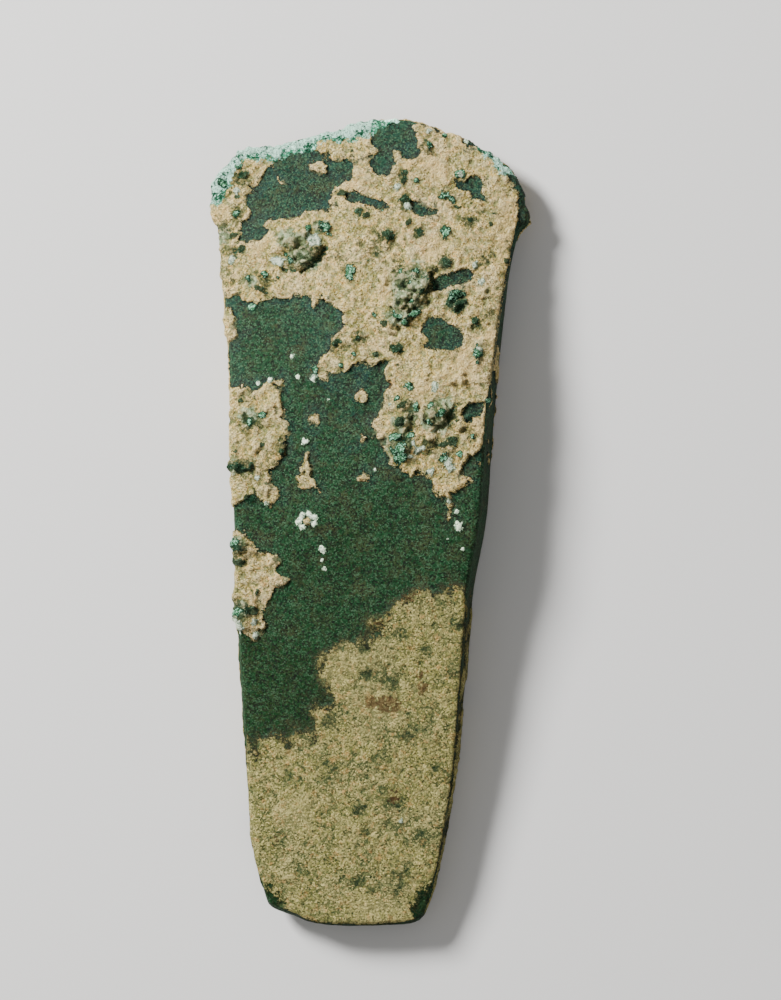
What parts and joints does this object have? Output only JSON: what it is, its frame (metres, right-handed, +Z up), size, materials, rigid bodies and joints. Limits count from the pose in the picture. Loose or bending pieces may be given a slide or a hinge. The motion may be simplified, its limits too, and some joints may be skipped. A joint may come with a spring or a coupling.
{
  "type": "copper axe head",
  "caption": "Flat trapezoidal axe head of copper, with a curved, worn cutting edge, square side walls and a narrow butt, under a patchy earthen crust and green patina.",
  "frame": {"origin": "centre of the bounding box in plan, at the surface that the axe lies on", "axes": "+Y along the axe from the butt to the cutting edge, +X to the right seen from above with the cutting edge up, +Z up through the thickness, out of the front face"},
  "size_m": [0.049, 0.121, 0.0113],
  "materials": {
    "patinated_copper": "matt, rough buried copper: dark green-black patina under a sandy tan crust, with pale green and dark green corrosion nodules"
  },
  "bodies": {
    "root": {"axe_head": "patinated_copper"}
  },
  "joints": []
}
